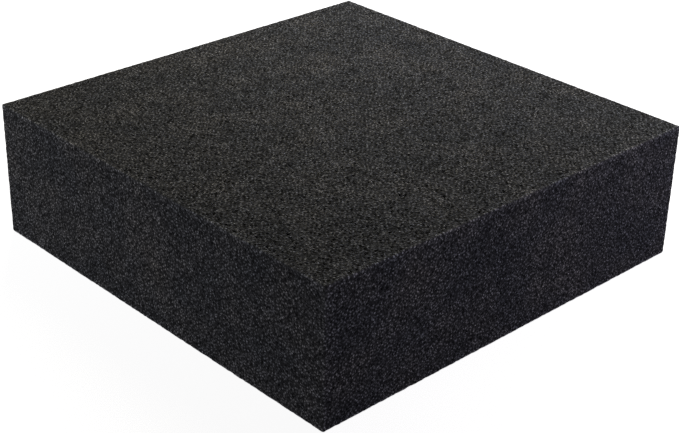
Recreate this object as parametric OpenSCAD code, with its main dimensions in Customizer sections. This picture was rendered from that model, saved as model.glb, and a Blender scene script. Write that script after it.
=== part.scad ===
// Foam block: a square block of charcoal open-cell foam, knife-cut from a sheet.
// One solid piece. The origin is at the centre of the underside, with +Z up.
// Millimetres.

/* [Block] */
// Length of the block along X
block_x = 100; // [40:1:300]
// Width of the block along Y
block_y = 100; // [40:1:300]
// Height of the block, which is the thickness of the foam sheet
block_z = 30; // [10:1:100]

/* [Cut edges] */
// Radius of the soft cut edges, about half an open cell
edge_r = 0.4; // [0.2:0.1:2]

/* [Hidden] */
$fn = 48;
foam_colour = [0.15, 0.15, 0.15];

// A rectangle, centred, whose four corners are rounded with true arcs
module soft_rectangle(u, v, r) {
  union() {
    square([u, v - 2 * r], center = true);
    square([u - 2 * r, v], center = true);
    for (i = [-1, 1], j = [-1, 1])
      translate([i * (u / 2 - r), j * (v / 2 - r)]) circle(r = r);
  }
}

// A box, centred, with all twelve edges rounded: the space that is inside
// the soft outline seen from above, from the front and from the side
module soft_box(x, y, z, r) {
  intersection() {
    translate([0, 0, -z / 2])
      linear_extrude(height = z) soft_rectangle(x, y, r);
    rotate([90, 0, 0]) translate([0, 0, -y / 2])
      linear_extrude(height = y) soft_rectangle(x, z, r);
    rotate([90, 0, 90]) translate([0, 0, -x / 2])
      linear_extrude(height = x) soft_rectangle(y, z, r);
  }
}

module foam_block() {
  color(foam_colour)
    translate([0, 0, block_z / 2])
      soft_box(block_x, block_y, block_z, edge_r);
}

foam_block();
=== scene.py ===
# Foam block: the look of a knife-cut block of charcoal open-cell foam.
# The block is one piece. Its faces are modelled as cut-open cells: every cell
# is a pit with its own depth, and the struts between the cells are ridges.
import math

import bpy
import numpy as np
from mathutils import Matrix, Vector
from mathutils.geometry import delaunay_2d_cdt


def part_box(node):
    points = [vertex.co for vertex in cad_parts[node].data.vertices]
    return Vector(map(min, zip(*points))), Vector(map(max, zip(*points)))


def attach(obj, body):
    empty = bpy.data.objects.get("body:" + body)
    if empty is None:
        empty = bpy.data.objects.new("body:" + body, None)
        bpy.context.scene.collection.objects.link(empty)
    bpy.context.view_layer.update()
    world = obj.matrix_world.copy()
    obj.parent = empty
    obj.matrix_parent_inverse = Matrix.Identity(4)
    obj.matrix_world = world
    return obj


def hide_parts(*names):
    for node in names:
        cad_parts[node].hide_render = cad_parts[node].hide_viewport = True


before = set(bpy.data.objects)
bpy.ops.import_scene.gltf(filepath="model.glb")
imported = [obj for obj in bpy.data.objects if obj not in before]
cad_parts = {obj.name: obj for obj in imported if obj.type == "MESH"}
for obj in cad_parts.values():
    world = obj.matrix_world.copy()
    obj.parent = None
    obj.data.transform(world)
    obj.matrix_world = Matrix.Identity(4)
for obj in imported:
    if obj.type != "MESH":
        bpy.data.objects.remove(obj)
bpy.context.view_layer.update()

MM = 0.001
ROUND = 0.4  # radius of the soft cut edges, mm
EDGE_STEP = 0.62  # spacing of the points along the edges, mm
CELL_AREA = 0.545  # mean area of the cut for each strut, mm2
UNDER_AREA = 2.6  # the same on the underside, which lies on the floor
KNOT = (0.26, 0.74)  # brightness of the struts' cut ends: the least, and the spread
PIT_SHADE = (0.27, 0.27)  # brightness of the cells, with painted shade: a closed one, and what an open one loses as it is painted darker
DEPTH = (0.12, 0.42)  # depth of the cells, in radii: a closed one, and what an open one adds
UPRIGHT_EDGE_HIGHLIGHT = 0.5  # how strong the painted edge highlight is on the upright edges, against the others
rng = np.random.default_rng(4107)

low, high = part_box("foam_block")
LOW = np.array(low) / MM
HIGH = np.array(high) / MM
SIZE = HIGH - LOW

# ---------------------------------------------------------------- the mesh

points, cells, painted_edge_highlights = [], [], []  # position (mm), strut brightness with painted shade in pits and hollows, painted edge highlight near an edge
triangles, faces_of = [], []  # corner points, and the face that each triangle belongs to


def add_points(p, cell, painted_edge_highlight):
    """Adds points and returns their numbers."""
    p = np.atleast_2d(np.asarray(p, float))
    first = sum(len(x) for x in points)
    points.append(p)
    cells.append(np.broadcast_to(np.asarray(cell, float), (len(p),)).copy())
    painted_edge_highlights.append(np.broadcast_to(np.asarray(painted_edge_highlight, float), (len(p),)).copy())
    return np.arange(first, first + len(p))


def add_triangles(t, face):
    triangles.append(np.asarray(t, int).reshape(-1, 3))
    faces_of.append(np.broadcast_to(np.asarray(face, int), (len(triangles[-1]),)).copy())


def scatter(wide, tall, gap, count, margin):
    """Random places no nearer to each other than gap."""
    step = gap / math.sqrt(2)
    nx, ny = int(wide / step) + 1, int(tall / step) + 1
    grid = [None] * (nx * ny)
    found = []
    limit = gap * gap
    for _ in range(200):
        batch = rng.random((4000, 2)) * (wide - 2 * margin, tall - 2 * margin) + margin
        for x, y in batch.tolist():
            i, j = int(x / step), int(y / step)
            free = True
            for jj in range(max(0, j - 2), min(ny, j + 3)):
                for q in grid[jj * nx + max(0, i - 2) : jj * nx + min(nx, i + 3)]:
                    if q and (q[0] - x) ** 2 + (q[1] - y) ** 2 < limit:
                        free = False
                        break
                if not free:
                    break
            if free:
                grid[j * nx + i] = (x, y)
                found.append((x, y))
                if len(found) >= count:
                    return np.array(found)
    return np.array(found)


# Each face: its normal's axis and sign, and its own u and v axes, with u x v outwards.
FACES = {
    "top": (2, 1, (0, 1), (1, 1)),
    "under": (2, -1, (0, 1), (1, -1)),
    "front": (1, -1, (0, 1), (2, 1)),
    "back": (1, 1, (0, -1), (2, 1)),
    "right": (0, 1, (1, 1), (2, 1)),
    "left": (0, -1, (1, -1), (2, 1)),
}
NAMES = list(FACES)


def to_world(name, u, v, depth):
    """A place on a face, from its u and v in mm and its depth under the cut."""
    axis, sign, (ua, us), (va, vs) = FACES[name]
    u, v, depth = np.broadcast_arrays(np.asarray(u, float), v, depth)
    p = np.zeros(u.shape + (3,))
    p[..., ua] = LOW[ua] + u if us > 0 else HIGH[ua] - u
    p[..., va] = LOW[va] + v if vs > 0 else HIGH[va] - v
    p[..., axis] = HIGH[axis] - depth if sign > 0 else LOW[axis] + depth
    return p


def edge_key(along, signs):
    """A block edge's name: the axis it runs along and which side of the two others it is on."""
    return (along,) + tuple(signs[a] for a in range(3) if a != along)


# Where the points along each of the twelve edges are, as a share of its length.
shares = {}
for along in range(3):
    for s in (-1, 1):
        for t in (-1, 1):
            n = max(2, round((SIZE[along] - 2 * ROUND) / EDGE_STEP))
            k = np.arange(n + 1) / n
            k[1:-1] += rng.uniform(-0.3, 0.3, n - 1) / n
            shares[(along, s, t)] = k



def edge_light(hollow):
    """Brightness of the points along an edge: broken cells, whose hollows are painted dark as shade, and strut
    ends.
    """
    n = len(hollow)
    return np.where(hollow, rng.uniform(0.05, 0.3, n), KNOT[0] + 0.5 * rng.beta(1.1, 1.7, n))


face_corner, face_line = {}, {}
for name, (axis, sign, (ua, us), (va, vs)) in FACES.items():
    for a in (-1, 1):
        for b in (-1, 1):
            at = np.zeros(3)
            at[axis] = HIGH[axis] if sign > 0 else LOW[axis]
            at[ua] = HIGH[ua] - ROUND if a > 0 else LOW[ua] + ROUND
            at[va] = HIGH[va] - ROUND if b > 0 else LOW[va] + ROUND
            # Corner points carry the full painted edge highlight.
            face_corner[name, (ua, a), (va, b)] = add_points(at, 0.45, 1)[0]
    for side, run in ((ua, va), (va, ua)):
        for t in (-1, 1):
            signs = {axis: sign, side: t}
            key = edge_key(run, signs)
            k = shares[key]
            n = len(k)
            at = np.zeros((n, 3))
            at[:, axis] = HIGH[axis] if sign > 0 else LOW[axis]
            at[:, side] = HIGH[side] - ROUND if t > 0 else LOW[side] + ROUND
            at[:, run] = LOW[run] + ROUND + k * (SIZE[run] - 2 * ROUND)
            # Hollow points are set in and painted dark as shade.
            hollow = rng.random(n - 2) < 0.35
            at[1:-1, axis] -= sign * np.where(hollow, rng.uniform(0.04, 0.11, n - 2), rng.uniform(0, 0.03, n - 2))
            # Points along the edge carry the painted edge highlight, half as strong on the upright edges.
            inner = add_points(at[1:-1], edge_light(hollow), UPRIGHT_EDGE_HIGHLIGHT if run == 2 else 1)
            ends = [
                face_corner[name, *sorted(((side, t), (run, e)), key=lambda x: x[0] != ua)]
                for e in (-1, 1)
            ]
            face_line[name, key] = np.concatenate([[ends[0]], inner, [ends[1]]])


def local(name, p):
    """u and v of places on a face."""
    axis, sign, (ua, us), (va, vs) = FACES[name]
    u = p[:, ua] - LOW[ua] if us > 0 else HIGH[ua] - p[:, ua]
    v = p[:, va] - LOW[va] if vs > 0 else HIGH[va] - p[:, va]
    return np.stack([u, v], -1)


def pair_up(flat, tri):
    """Joins neighbouring triangles into four-sided cells, the squarest first. What is left stays three-sided."""
    edge = {}
    for t, (i, j, k) in enumerate(tri.tolist()):
        for p, q, r in ((i, j, k), (j, k, i), (k, i, j)):
            edge[p, q] = (t, r)
    rows = [(p, q, *one, *edge[q, p]) for (p, q), one in edge.items() if p < q and (q, p) in edge]
    p, q, t, r, u, s = np.array(rows).T
    # The four sides of the cell p, s, q, r, and how square its corners are.
    ring = flat[np.stack([p, s, q, r], 1)]
    ahead = np.roll(ring, -1, 1) - ring
    ahead /= np.linalg.norm(ahead, axis=2, keepdims=True)
    behind = np.roll(ahead, 1, 1)
    lean = np.abs((ahead * behind).sum(2)).max(1)
    bent = behind[..., 0] * ahead[..., 1] - behind[..., 1] * ahead[..., 0]
    lean += rng.uniform(0, 0.25, len(lean))
    lean[bent.min(1) < 0.2] = 9
    free = np.ones(len(tri), bool)
    fours = []
    for i in np.argsort(lean, kind="stable").tolist():
        if lean[i] < 8 and free[t[i]] and free[u[i]]:
            free[t[i]] = free[u[i]] = False
            fours.append((p[i], s[i], q[i], r[i]))
    return np.array(fours), tri[free]


def cut_face(name):
    """Fills a face with cut-open cells. Struts end in knots on the cut, and each cell between them is a pit."""
    axis, sign, (ua, us), (va, vs) = FACES[name]
    wide, tall = SIZE[ua], SIZE[va]
    area = UNDER_AREA if name == "under" else CELL_AREA
    count = int((wide - 2 * ROUND) * (tall - 2 * ROUND) / area)
    knots = scatter(wide, tall, math.sqrt(0.64 * area), count, ROUND + 0.32)
    # The outline, in order around the face.
    ring = []
    for side, t, run, forward in (
        (va, -1, ua, True),
        (ua, 1, va, True),
        (va, 1, ua, False),
        (ua, -1, va, False),
    ):
        ts = t * (us if side == ua else vs)  # from the face's own side to the frame's
        line = face_line[name, edge_key(run, {axis: sign, side: ts})]
        if (us if run == ua else vs) < 0:
            line = line[::-1]
        ring.append((line if forward else line[::-1])[:-1])
    ring = np.concatenate(ring)
    flat = np.concatenate([local(name, np.concatenate(points)[ring]), knots])
    n = len(ring)
    made = delaunay_2d_cdt([Vector(p) for p in flat.tolist()], [], [list(range(n))], 1, 1e-7)
    assert len(made[0]) == len(flat)
    came = np.array([x[0] for x in made[3]])
    tri = came[np.array([list(f) for f in made[2]], int)]
    a, b, c = (flat[tri[:, i]] for i in range(3))
    turned = (b[:, 0] - a[:, 0]) * (c[:, 1] - a[:, 1]) - (b[:, 1] - a[:, 1]) * (c[:, 0] - a[:, 0])
    tri[turned < 0] = tri[turned < 0][:, ::-1]

    drop = rng.gamma(1.5, 0.026, len(knots)).clip(0, 0.18)
    # Knots cut lower are painted darker: painted shade.
    light = rng.beta(1.1, 1.7, len(knots)) * (1 - 1.5 * drop)
    knot_no = add_points(to_world(name, knots[:, 0], knots[:, 1], drop), KNOT[0] + KNOT[1] * light, 0)
    number = np.concatenate([ring, knot_no])
    for group in pair_up(flat, tri):
        m = group.shape[1]
        around = flat[group]
        weight = rng.dirichlet((14,) * m, len(group))
        pit = (around * weight[:, :, None]).sum(1)
        reach = np.linalg.norm(around - pit[:, None], axis=2).min(1)
        open_ = rng.beta(2.6, 1.7, len(group))  # how far each cell is cut open
        deep = reach * (DEPTH[0] + DEPTH[1] * open_)
        # An open cell is deeper and painted darker: painted shade in the pit.
        pit_no = add_points(to_world(name, pit[:, 0], pit[:, 1], deep), PIT_SHADE[0] - PIT_SHADE[1] * open_, 0)
        for i in range(m):
            out = np.stack([number[group[:, i]], number[group[:, (i + 1) % m]], pit_no], 1)
            add_triangles(out, NAMES.index(name))


for name in NAMES:
    cut_face(name)

# The soft edges: on each, a middle line on the round, and a strip to either face.
INSET = ROUND * (1 - math.sqrt(0.5))
edge_middle = {}
for along in range(3):
    o1, o2 = [a for a in range(3) if a != along]
    for s in (-1, 1):
        for t in (-1, 1):
            key = (along, s, t)
            k = shares[key]
            at = np.zeros((len(k), 3))
            # Hollow points are set in and painted dark as shade.
            hollow = rng.random(len(k)) < 0.3
            jitter = np.where(hollow[:, None], rng.uniform(0.02, 0.06, (len(k), 2)), rng.uniform(-0.02, 0.03, (len(k), 2)))
            jitter[[0, -1]] = 0
            at[:, o1] = (HIGH[o1] - INSET - jitter[:, 0]) if s > 0 else (LOW[o1] + INSET + jitter[:, 0])
            at[:, o2] = (HIGH[o2] - INSET - jitter[:, 1]) if t > 0 else (LOW[o2] + INSET + jitter[:, 1])
            at[:, along] = LOW[along] + ROUND + k * (SIZE[along] - 2 * ROUND)
            # Points on the round carry the painted edge highlight, half as strong on the upright edges.
            edge_middle[key] = add_points(at, edge_light(hollow), UPRIGHT_EDGE_HIGHLIGHT if along == 2 else 1)
FACE_AT = {(FACES[name][0], FACES[name][1]): name for name in NAMES}


def outward(t, way):
    """Turns triangles so that they look out."""
    t = np.asarray(t, int).reshape(-1, 3)
    every = np.concatenate(points)
    a, b, c = (every[t[:, i]] for i in range(3))
    inside_out = (np.cross(b - a, c - a) * way).sum(1) < 0
    t[inside_out] = t[inside_out][:, ::-1]
    return t


for (along, s, t), middle in edge_middle.items():
    o1, o2 = [a for a in range(3) if a != along]
    way = np.zeros(3)
    way[o1], way[o2] = s, t
    for axis, sign in ((o1, s), (o2, t)):
        name = FACE_AT[axis, sign]
        line = face_line[name, (along, s, t)]
        i = np.arange(len(line) - 1)
        flip = i % 2 == 0
        one = np.where(flip[:, None], np.stack([line[:-1], line[1:], middle[:-1]], 1), np.stack([line[:-1], line[1:], middle[1:]], 1))
        two = np.where(flip[:, None], np.stack([line[1:], middle[1:], middle[:-1]], 1), np.stack([line[:-1], middle[1:], middle[:-1]], 1))
        add_triangles(outward(np.concatenate([one, two]), way), NAMES.index(name))
for sx in (-1, 1):
    for sy in (-1, 1):
        for sz in (-1, 1):
            way = np.array((sx, sy, sz), float)
            tip = np.where(way > 0, HIGH, LOW) - way * ROUND * (1 - math.sqrt(1 / 3))
            # The corner tip carries the full painted edge highlight.
            tip = add_points(tip, 0.45, 1)[0]
            end = {}
            for along, s, t in ((0, sy, sz), (1, sx, sz), (2, sx, sy)):
                end[along] = edge_middle[along, s, t][-1 if way[along] > 0 else 0]
            for axis in range(3):
                name = FACE_AT[axis, int(way[axis])]
                (ua, _), (va, _) = FACES[name][2:]
                corner = face_corner[name, (ua, int(way[ua])), (va, int(way[va]))]
                for other in range(3):
                    if other != axis:
                        add_triangles(outward([(corner, end[other], tip)], way), NAMES.index(name))

points = np.concatenate(points)
cells = np.concatenate(cells)
painted_edge_highlights = np.concatenate(painted_edge_highlights)
triangles = np.concatenate(triangles)
faces_of = np.concatenate(faces_of)

mesh = bpy.data.meshes.new("open_cell_foam")
mesh.vertices.add(len(points))
mesh.vertices.foreach_set("co", (points * MM).astype(np.float32).ravel())
mesh.loops.add(len(triangles) * 3)
mesh.loops.foreach_set("vertex_index", triangles.astype(np.int32).ravel())
mesh.polygons.add(len(triangles))
mesh.polygons.foreach_set("loop_start", np.arange(0, len(triangles) * 3, 3, dtype=np.int32))
mesh.update(calc_edges=True)
mesh.validate()
mesh.polygons.foreach_set("use_smooth", np.zeros(len(mesh.polygons), bool))
# Two attributes: the struts' tone with painted shade in pits and hollows, and the painted highlight along the
# edges.
for title, values in (("cell", cells), ("painted_edge_highlight", painted_edge_highlights)):
    mesh.attributes.new(title, "FLOAT", "POINT").data.foreach_set("value", values.astype(np.float32))

# A map with one rectangle for each face: where it lies in mm, its scale, and whether it stands on end.
PLACE = {
    "top": (0.5, 0.5, 1.0, False),
    "front": (0.5, 101.5, 1.0, False),
    "back": (0.5, 132.5, 1.0, False),
    "right": (101.5, 62.5, 1.0, True),
    "left": (132.5, 62.5, 1.0, True),
    "under": (101.5, 0.5, 0.6, False),
}
uv = np.zeros((len(triangles), 3, 2))
for i, name in enumerate(NAMES):
    mine = faces_of == i
    x, y, scale, on_end = PLACE[name]
    flat = local(name, points[triangles[mine].ravel()]).reshape(-1, 3, 2) * scale
    if on_end:
        flat = np.stack([SIZE[2] - flat[..., 1], flat[..., 0]], -1)
    uv[mine] = flat + (x, y)
uv /= 163.0
mesh.uv_layers.new(name="OFBake").data.foreach_set("uv", uv.astype(np.float32).ravel())

foam = bpy.data.objects.new("open_cell_foam", mesh)
bpy.context.scene.collection.objects.link(foam)

# ------------------------------------------------------------ the material


class Nodes:
    """Short ways to make and join shader nodes."""

    def __init__(self, tree):
        self.tree = tree
        tree.nodes.clear()

    def new(self, kind, **values):
        made = self.tree.nodes.new(kind)
        for k, v in values.items():
            setattr(made, k, v)
        return made

    def put(self, socket, value):
        if isinstance(value, bpy.types.NodeSocket):
            self.tree.links.new(value, socket)
        else:
            socket.default_value = value

    def math(self, operation, a, b=0.0, clamp=False):
        n = self.new("ShaderNodeMath", operation=operation, use_clamp=clamp)
        self.put(n.inputs[0], a)
        self.put(n.inputs[1], b)
        return n.outputs[0]

    def noise(self, where, scale, detail=2.0, rough=0.5):
        n = self.new("ShaderNodeTexNoise")
        self.put(n.inputs["Vector"], where)
        n.inputs["Scale"].default_value = scale
        n.inputs["Detail"].default_value = detail
        n.inputs["Roughness"].default_value = rough
        return n.outputs["Fac"]

    def ramp(self, value, stops):
        n = self.new("ShaderNodeValToRGB")
        self.put(n.inputs["Fac"], value)
        e = n.color_ramp.elements
        while len(e) < len(stops):
            e.new(0.5)
        for k, (at, colour) in zip(e, stops):
            k.position = at
            k.color = (*colour, 1.0)
        return n.outputs["Color"]


material = bpy.data.materials.new("foam_open_cell")
material.use_nodes = True
m = Nodes(material.node_tree)
here = m.new("ShaderNodeTexCoord").outputs["Object"]
# The struts' tone with painted shade in the pits, and the painted highlight along the edges.
cell = m.new("ShaderNodeAttribute", attribute_name="cell").outputs["Fac"]
painted_edge_highlight = m.new("ShaderNodeAttribute", attribute_name="painted_edge_highlight").outputs["Fac"]

# Fine strut ends inside and between the modelled cells: small beads, evenly strewn.
bend = m.new("ShaderNodeTexNoise")
m.put(bend.inputs["Vector"], here)
bend.inputs["Scale"].default_value = 900.0
bend.inputs["Detail"].default_value = 1.0
shift = m.new("ShaderNodeVectorMath", operation="MULTIPLY_ADD")
m.put(shift.inputs[0], bend.outputs["Color"])
shift.inputs[1].default_value = (0.0003, 0.0003, 0.0003)
m.put(shift.inputs[2], here)
turned = m.new("ShaderNodeMapping")
m.put(turned.inputs["Vector"], shift.outputs[0])
turned.inputs["Rotation"].default_value = (0.62, 0.41, 0.93)
strewn = m.new("ShaderNodeTexVoronoi", feature="F1")
m.put(strewn.inputs["Vector"], turned.outputs[0])
strewn.inputs["Scale"].default_value = 1 / 0.00054
strewn.inputs["Randomness"].default_value = 0.75
bead = m.math("SUBTRACT", 1.0, m.math("MULTIPLY", strewn.outputs["Distance"], 1.55), clamp=True)
own = m.new("ShaderNodeSeparateColor")  # a number of each bead's own: a few beads are painted brighter, as painted glints
m.put(own.inputs["Color"], strewn.outputs["Color"])
# Painted glints: a few beads made brighter in colour.
painted_glint = m.math("MULTIPLY", m.math("POWER", own.outputs["Red"], 2.0), 0.25)
bead = m.math("MULTIPLY", bead, m.math("ADD", painted_glint, 0.92))
web = m.new("ShaderNodeTexVoronoi", feature="DISTANCE_TO_EDGE")
m.put(web.inputs["Vector"], shift.outputs[0])
web.inputs["Scale"].default_value = 1 / 0.00072
strut = m.math("SUBTRACT", 1.0, m.math("MULTIPLY", web.outputs["Distance"], 3.2), clamp=True)
grain = m.noise(here, 1 / 0.00042, 2.0, 0.6)
patch = m.noise(here, 1 / 0.009, 3.0, 0.55)

# How much light a place gives back: deep pits little, as painted shade, struts and their ends more, and the edges
# more again as a painted highlight.
# The cell attribute is the struts' own tone, with painted shade in the pits and hollows.
value = m.math("ADD", m.math("MULTIPLY", cell, 0.30), 0.030)
value = m.math("ADD", value, m.math("MULTIPLY", bead, 0.83))
# Painted highlight along the cut edges.
value = m.math("ADD", value, m.math("MULTIPLY", painted_edge_highlight, 0.18))
value = m.math("ADD", value, m.math("MULTIPLY", m.math("SUBTRACT", strut, 0.5), 0.10))
value = m.math("ADD", value, m.math("MULTIPLY", m.math("SUBTRACT", grain, 0.5), 0.20))
value = m.math("ADD", value, m.math("MULTIPLY", m.math("SUBTRACT", patch, 0.5), 0.26), clamp=True)
colour = m.ramp(
    value,
    [
        (0.00, (0.0026, 0.0026, 0.0026)),
        (0.25, (0.0072, 0.0072, 0.0072)),
        (0.50, (0.0195, 0.0195, 0.0195)),
        (0.75, (0.0585, 0.0585, 0.0585)),
        (1.00, (0.1650, 0.1650, 0.1650)),
    ],
)
# The dye is a little warmer in some places and cooler in others.
dye = m.math("MULTIPLY", m.math("SUBTRACT", m.noise(here, 1 / 0.009, 2.0, 0.5), 0.5), 0.26)
tint = m.new("ShaderNodeCombineColor")
m.put(tint.inputs["Red"], m.math("ADD", 1.0, dye))
m.put(tint.inputs["Green"], m.math("ADD", 1.0, m.math("MULTIPLY", dye, 0.15)))
m.put(tint.inputs["Blue"], m.math("SUBTRACT", 1.0, dye))
dyed = m.new("ShaderNodeMix", data_type="RGBA", blend_type="MULTIPLY")
dyed.inputs[0].default_value = 1.0
m.put(dyed.inputs[6], colour)
m.put(dyed.inputs[7], tint.outputs["Color"])
height = m.math("ADD", m.math("MULTIPLY", bead, 0.6), m.math("MULTIPLY", grain, 0.5))
bump = m.new("ShaderNodeBump")
bump.inputs["Strength"].default_value = 0.5
bump.inputs["Distance"].default_value = 0.00012
m.put(bump.inputs["Height"], height)
rough = m.new("ShaderNodeMapRange")
m.put(rough.inputs["Value"], value)
rough.inputs["To Min"].default_value = 0.95
rough.inputs["To Max"].default_value = 0.6
surface = m.new("ShaderNodeBsdfPrincipled")
m.put(surface.inputs["Base Color"], dyed.outputs[2])
m.put(surface.inputs["Roughness"], rough.outputs["Result"])
m.put(surface.inputs["Normal"], bump.outputs["Normal"])
surface.inputs["Specular IOR Level"].default_value = 0.08
surface.inputs["Sheen Weight"].default_value = 0.0
m.put(m.new("ShaderNodeOutputMaterial").inputs["Surface"], surface.outputs["BSDF"])
mesh.materials.append(material)

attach(foam, "root")
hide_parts("foam_block")

# ------------------------------------------------- floor, light and camera

ground = bpy.data.meshes.new("floor")
ground.from_pydata([(-8, -8, 0), (8, -8, 0), (8, 8, 0), (-8, 8, 0)], [], [(0, 1, 2, 3)])
floor = bpy.data.objects.new("floor", ground)
bpy.context.scene.collection.objects.link(floor)
floor.location.z = -0.00005
pale = bpy.data.materials.new("floor_pale")
pale.use_nodes = True
p = Nodes(pale.node_tree)
# Seen directly it is a pale floor with a faint contact shadow. To the block it is
# the white sweep that lights its sides.
matte = p.new("ShaderNodeBsdfDiffuse")
matte.inputs["Color"].default_value = (0.25, 0.25, 0.25, 1)
glow = p.new("ShaderNodeEmission")
glow.inputs["Color"].default_value = (1, 1, 1, 1)
glow.inputs["Strength"].default_value = 0.92
both = p.new("ShaderNodeAddShader")
p.put(both.inputs[0], matte.outputs[0])
p.put(both.inputs[1], glow.outputs[0])
sweep = p.new("ShaderNodeEmission")
sweep.inputs["Color"].default_value = (0.872, 0.863, 1.0, 1)
# Close to the block the sweep is in the block's own shade, most of all on the right.
spot = p.new("ShaderNodeSeparateXYZ")
p.put(spot.inputs[0], p.new("ShaderNodeTexCoord").outputs["Object"])
away = p.math("MAXIMUM", p.math("ABSOLUTE", spot.outputs["X"]), p.math("ABSOLUTE", spot.outputs["Y"]))
near = p.math("SUBTRACT", 1.0, p.math("MULTIPLY", p.math("SUBTRACT", away, 0.05), 1 / 0.03), clamp=True)
shade = p.math("ADD", 0.10, p.math("MULTIPLY", p.math("LESS_THAN", spot.outputs["Y"], -0.05), 0.23))
p.put(sweep.inputs["Strength"], p.math("MULTIPLY", p.math("SUBTRACT", 1.0, p.math("MULTIPLY", near, shade)), 1.10))
seen = p.new("ShaderNodeMixShader")
p.put(seen.inputs[0], p.new("ShaderNodeLightPath").outputs["Is Camera Ray"])
p.put(seen.inputs[1], sweep.outputs[0])
p.put(seen.inputs[2], both.outputs[0])
p.put(p.new("ShaderNodeOutputMaterial").inputs["Surface"], seen.outputs[0])
ground.materials.append(pale)

world = bpy.data.worlds.new("studio")
bpy.context.scene.world = world
world.use_nodes = True
w = Nodes(world.node_tree)
soft = w.new("ShaderNodeBackground")
soft.inputs["Color"].default_value = (1, 1, 1, 1)
soft.inputs["Strength"].default_value = 0.0
white = w.new("ShaderNodeBackground")
white.inputs["Color"].default_value = (1, 1, 1, 1)
white.inputs["Strength"].default_value = 1.0
which = w.new("ShaderNodeMixShader")
w.put(which.inputs[0], w.new("ShaderNodeLightPath").outputs["Is Camera Ray"])
w.put(which.inputs[1], soft.outputs[0])
w.put(which.inputs[2], white.outputs[0])
w.put(w.new("ShaderNodeOutputWorld").inputs["Surface"], which.outputs[0])


def lamp(name, place, aim, size, power, colour):
    """A soft box: a square light that looks at a point."""
    data = bpy.data.lights.new(name, "AREA")
    data.shape = "SQUARE"
    data.size = size
    data.energy = power
    data.color = colour
    made = bpy.data.objects.new(name, data)
    bpy.context.scene.collection.objects.link(made)
    made.location = place
    made.rotation_euler = (Vector(aim) - Vector(place)).to_track_quat("-Z", "Y").to_euler()
    made.visible_camera = False
    return made


lamp("back", (0.08, 0.13, 0.16), (0.01, 0.03, 0.03), 0.12, 0.472, (1.0, 0.942, 0.785))
lamp("back_low", (0.14, 0.10, 0.12), (0.03, 0.02, 0.03), 0.12, 0.158, (0.560, 0.660, 1.0))
lamp("over_right", (0.13, -0.05, 0.10), (0.05, -0.04, 0.03), 0.10, 0.202, (1.0, 0.985, 0.930))
lamp("left", (-0.169, 0.141, 0.06), (-0.05, 0.04, 0.015), 0.12, 0.234, (0.976, 0.992, 1.0))
lamp("right", (0.178, -0.161, 0.055), (0.045, -0.05, 0.015), 0.10, 0.262, (0.735, 0.660, 1.0))

# The camera, from the photograph's own perspective: the picture is 679 x 433.
az, el, roll = math.radians(-43.762), math.radians(27.684), math.radians(-1.343)
ahead = Vector((-math.sin(az) * math.cos(el), math.cos(az) * math.cos(el), -math.sin(el)))
across = ahead.cross(Vector((0, 0, 1))).normalized()
down = ahead.cross(across)
x_axis = math.cos(roll) * across + math.sin(roll) * down
y_axis = math.sin(roll) * across - math.cos(roll) * down
eye = Vector((-0.199967, -0.209500, 0.158060))
lens = bpy.data.cameras.new("camera")
lens.sensor_fit = "HORIZONTAL"
lens.sensor_width = 36.0
lens.lens = 1519.93 / 679 * 36.0
lens.clip_start = 0.01
lens.clip_end = 50.0
camera = bpy.data.objects.new("camera", lens)
bpy.context.scene.collection.objects.link(camera)
turn = Matrix((x_axis, y_axis, -ahead)).transposed()
camera.matrix_world = Matrix.Translation(eye) @ turn.to_4x4()
bpy.context.scene.camera = camera

bpy.context.scene.view_settings.view_transform = "Standard"
bpy.context.scene.view_settings.look = "None"
bpy.context.scene.cycles.use_denoising = False
